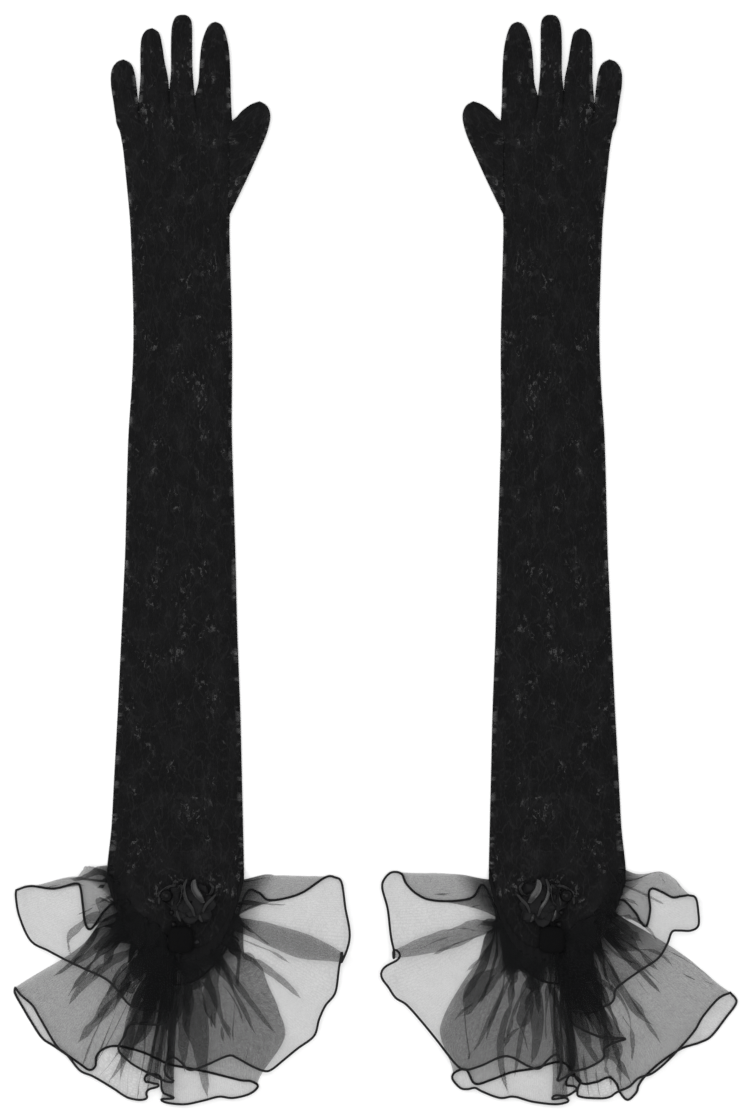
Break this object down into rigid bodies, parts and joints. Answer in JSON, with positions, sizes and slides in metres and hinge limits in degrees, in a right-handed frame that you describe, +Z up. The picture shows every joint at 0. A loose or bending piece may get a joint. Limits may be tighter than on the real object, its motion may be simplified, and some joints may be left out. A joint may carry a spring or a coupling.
{
  "type": "opera gloves",
  "caption": "Pair of long stretch-lace evening gloves with gathered sheer ruffles and a ribbon rosette at the upper-arm end, lying flat.",
  "frame": {"origin": "middle of the underside of the whole outline, on the surface the gloves rest on", "axes": "+Y from the ruffles to the fingertips, +X towards the right-hand glove, +Z up off the surface"},
  "size_m": [0.5752, 0.8717, 0.0196],
  "materials": {
    "lace_back": "dense black stretch lace, flowers and leaves over a fine net, slightly shiny raised threads",
    "lace_palm_side": "the same black stretch lace, lying under the back panel",
    "lace_fingers": "the same black stretch lace cut for fingers and thumb",
    "gather_band": "matt black binding cloth over the gathers",
    "cuff_elastic": "ribbed black flat elastic",
    "organza_upper": "sheer black organza, slightly glossy",
    "organza_lower": "sheer black organza, slightly glossy",
    "hem_cord": "black overlocked thread over a round hem cord",
    "rosette_backing": "matt black felt",
    "satin_petals": "black satin, soft sheen",
    "satin_ribbon": "black satin ribbon, soft sheen",
    "bead": "black faceted bead, high gloss",
    "ribbon_knot": "matt black gathered ribbon"
  },
  "bodies": {
    "left_sleeve": {"left_upper_back": "lace_back", "left_upper_front": "lace_palm_side", "left_cuff_band": "gather_band", "left_cuff_elastic": "cuff_elastic", "left_ruffle_upper": "organza_upper", "left_ruffle_lower": "organza_lower", "left_hem_cord_upper": "hem_cord", "left_hem_cord_lower": "hem_cord", "left_rosette_backing": "rosette_backing", "left_rosette_petals": "satin_petals", "left_ribbon_loops": "satin_ribbon", "left_bead": "bead", "left_ribbon_knot": "ribbon_knot"},
    "left_forearm": {"left_forearm_back": "lace_back", "left_forearm_front": "lace_palm_side"},
    "left_hand": {"left_hand_back": "lace_back", "left_hand_palm": "lace_palm_side"},
    "left_index_finger": {"left_index_finger": "lace_fingers"},
    "left_middle_finger": {"left_middle_finger": "lace_fingers"},
    "left_ring_finger": {"left_ring_finger": "lace_fingers"},
    "left_little_finger": {"left_little_finger": "lace_fingers"},
    "left_thumb": {"left_thumb": "lace_fingers"},
    "right_sleeve": {"right_upper_back": "lace_back", "right_upper_front": "lace_palm_side", "right_cuff_band": "gather_band", "right_cuff_elastic": "cuff_elastic", "right_ruffle_upper": "organza_upper", "right_ruffle_lower": "organza_lower", "right_hem_cord_upper": "hem_cord", "right_hem_cord_lower": "hem_cord", "right_rosette_backing": "rosette_backing", "right_rosette_petals": "satin_petals", "right_ribbon_loops": "satin_ribbon", "right_bead": "bead", "right_ribbon_knot": "ribbon_knot"},
    "right_forearm": {"right_forearm_back": "lace_back", "right_forearm_front": "lace_palm_side"},
    "right_hand": {"right_hand_back": "lace_back", "right_hand_palm": "lace_palm_side"},
    "right_index_finger": {"right_index_finger": "lace_fingers"},
    "right_middle_finger": {"right_middle_finger": "lace_fingers"},
    "right_ring_finger": {"right_ring_finger": "lace_fingers"},
    "right_little_finger": {"right_little_finger": "lace_fingers"},
    "right_thumb": {"right_thumb": "lace_fingers"}
  },
  "joints": [
    {"name": "left_elbow_fold", "type": "hinge", "parent": "left_sleeve", "child": "left_forearm", "pos_m": [-0.15565, 0.0255, 0.008], "axis": [1, 0, 0], "range_deg": [0, 135]},
    {"name": "left_wrist_fold", "type": "hinge", "parent": "left_forearm", "child": "left_hand", "pos_m": [-0.15565, 0.2715, 0.008], "axis": [1, 0, 0], "range_deg": [0, 90]},
    {"name": "left_index_finger_fold", "type": "hinge", "parent": "left_hand", "child": "left_index_finger", "pos_m": [-0.13065, 0.3714, 0.008], "axis": [1, 0, 0], "range_deg": [0, 90]},
    {"name": "left_middle_finger_fold", "type": "hinge", "parent": "left_hand", "child": "left_middle_finger", "pos_m": [-0.15465, 0.375, 0.008], "axis": [1, 0, 0], "range_deg": [0, 90]},
    {"name": "left_ring_finger_fold", "type": "hinge", "parent": "left_hand", "child": "left_ring_finger", "pos_m": [-0.17665, 0.375, 0.008], "axis": [1, 0, 0], "range_deg": [0, 90]},
    {"name": "left_little_finger_fold", "type": "hinge", "parent": "left_hand", "child": "left_little_finger", "pos_m": [-0.19865, 0.3648, 0.008], "axis": [1, 0, 0], "range_deg": [0, 90]},
    {"name": "left_thumb_fold", "type": "hinge", "parent": "left_hand", "child": "left_thumb", "pos_m": [-0.11395, 0.3105, 0.008], "axis": [0, -1, 0], "range_deg": [0, 110]},
    {"name": "gloves_apart", "type": "slide", "parent": "left_sleeve", "child": "right_sleeve", "axis": [1, 0, 0], "range_m": [0, 0.3]},
    {"name": "right_elbow_fold", "type": "hinge", "parent": "right_sleeve", "child": "right_forearm", "pos_m": [0.14195, 0.0255, 0.008], "axis": [1, 0, 0], "range_deg": [0, 135]},
    {"name": "right_wrist_fold", "type": "hinge", "parent": "right_forearm", "child": "right_hand", "pos_m": [0.14195, 0.2715, 0.008], "axis": [1, 0, 0], "range_deg": [0, 90]},
    {"name": "right_index_finger_fold", "type": "hinge", "parent": "right_hand", "child": "right_index_finger", "pos_m": [0.11695, 0.3714, 0.008], "axis": [1, 0, 0], "range_deg": [0, 90]},
    {"name": "right_middle_finger_fold", "type": "hinge", "parent": "right_hand", "child": "right_middle_finger", "pos_m": [0.14095, 0.375, 0.008], "axis": [1, 0, 0], "range_deg": [0, 90]},
    {"name": "right_ring_finger_fold", "type": "hinge", "parent": "right_hand", "child": "right_ring_finger", "pos_m": [0.16295, 0.375, 0.008], "axis": [1, 0, 0], "range_deg": [0, 90]},
    {"name": "right_little_finger_fold", "type": "hinge", "parent": "right_hand", "child": "right_little_finger", "pos_m": [0.18495, 0.3648, 0.008], "axis": [1, 0, 0], "range_deg": [0, 90]},
    {"name": "right_thumb_fold", "type": "hinge", "parent": "right_hand", "child": "right_thumb", "pos_m": [0.10025, 0.3105, 0.008], "axis": [0, 1, 0], "range_deg": [0, 110]}
  ]
}
